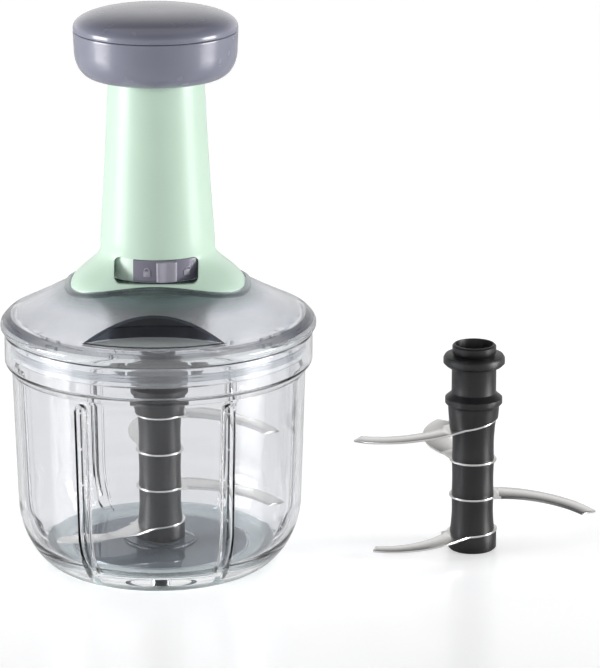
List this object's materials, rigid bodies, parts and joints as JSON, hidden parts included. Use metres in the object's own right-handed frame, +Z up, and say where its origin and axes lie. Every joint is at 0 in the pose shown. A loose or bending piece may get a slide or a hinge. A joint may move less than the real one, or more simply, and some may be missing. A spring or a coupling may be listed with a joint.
{
  "type": "plunger food chopper",
  "caption": "Hand-pressed food chopper: clear fluted bowl, smoke lid, mint handle column with round press knob and lock slider, blade unit inside and a spare blade unit beside it.",
  "frame": {"origin": "centre of the resting face under the bowl, on the axis of the column and knob", "axes": "+Z up along the column; -Y towards the front with the lock slider and the finger pocket; +X to the right, where the spare blade unit stands"},
  "size_m": [0.252, 0.1326, 0.2386],
  "materials": {
    "bowl_clear": "clear moulded plastic with a faint smoke tint",
    "lid_smoke": "smoke-tinted clear plastic, polished",
    "column_mint": "pale mint plastic, satin gloss",
    "knob_grey": "cool grey plastic, satin gloss",
    "slider_slate": "dark slate plastic",
    "housing_dark": "dark grey plastic",
    "post_black": "black plastic, polished",
    "natural_plastic": "uncoloured slippery plastic",
    "blade_steel": "finely brushed stainless steel",
    "bright_steel": "bright drawn steel",
    "bush_brass": "plain turned brass",
    "soft_rubber": "soft grey rubber"
  },
  "bodies": {
    "bowl_base": {"bowl": "bowl_clear", "base_pad": "soft_rubber", "centre_pin": "bright_steel"},
    "lid": {"lid_cover": "lid_smoke", "lid_seal": "soft_rubber", "handle_column": "column_mint", "column_guide": "natural_plastic", "drive_housing": "housing_dark", "housing_screws": "bright_steel", "hub_retainer": "housing_dark", "retainer_screws": "bright_steel", "rod_bush": "bush_brass", "spring_seat": "bright_steel", "return_spring": "bright_steel"},
    "plunger": {"plunger_tube": "knob_grey", "drive_nut": "natural_plastic", "buffer_ring": "soft_rubber", "knob_base": "knob_grey", "knob_cap": "knob_grey", "knob_screws": "bright_steel"},
    "screw_rod": {"screw_rod": "bright_steel", "ratchet_driver": "natural_plastic", "clutch_spring": "bright_steel", "rod_clip": "bright_steel"},
    "drive_hub": {"drive_hub": "housing_dark"},
    "lock_slider": {"lock_slider": "slider_slate"},
    "blade_unit": {"post_foot": "post_black", "post_socket": "post_black", "tie_tube": "bright_steel", "blade_bottom": "blade_steel", "blade_lower": "blade_steel", "blade_upper": "blade_steel", "blade_top": "blade_steel", "spacer_bottom": "post_black", "spacer_lower": "post_black", "spacer_upper": "post_black"},
    "spare_blade_unit": {"spare_post_foot": "post_black", "spare_post_socket": "post_black", "spare_tie_tube": "bright_steel", "spare_blade_bottom": "blade_steel", "spare_blade_lower": "blade_steel", "spare_blade_upper": "blade_steel", "spare_blade_top": "blade_steel", "spare_spacer_bottom": "post_black", "spare_spacer_lower": "post_black", "spare_spacer_upper": "post_black"}
  },
  "joints": [
    {"name": "lid_lift", "type": "slide", "parent": "bowl_base", "child": "lid", "axis": [0, 0, 1], "range_m": [0, 0.12]},
    {"name": "plunger_slide", "type": "slide", "parent": "lid", "child": "plunger", "axis": [0, 0, 1], "range_m": [0, 0.045], "deforming": ["return_spring"]},
    {"name": "rod_spin", "type": "hinge", "parent": "lid", "child": "screw_rod", "pos_m": [0, 0, 0.15], "axis": [0, 0, 1], "range_deg": [-545, 5]},
    {"name": "hub_spin", "type": "hinge", "parent": "lid", "child": "drive_hub", "pos_m": [0, 0, 0.1], "axis": [0, 0, 1], "range_deg": [-545, 5]},
    {"name": "blade_spin", "type": "hinge", "parent": "bowl_base", "child": "blade_unit", "pos_m": [0, 0, 0.05], "axis": [0, 0, 1], "range_deg": [-545, 5]},
    {"name": "lock_slide", "type": "hinge", "parent": "lid", "child": "lock_slider", "pos_m": [0, 0, 0.135], "axis": [0, 0, 1], "range_deg": [-19, 0]},
    {"name": "spare_lift", "type": "slide", "parent": "bowl_base", "child": "spare_blade_unit", "axis": [0, 0, 1], "range_m": [0, 0.05]}
  ],
  "couplings": [
    {"joint": "rod_spin", "follows": "plunger_slide", "rad_per_m": -209.44},
    {"joint": "hub_spin", "follows": "plunger_slide", "rad_per_m": -209.44},
    {"joint": "blade_spin", "follows": "plunger_slide", "rad_per_m": -209.44}
  ]
}
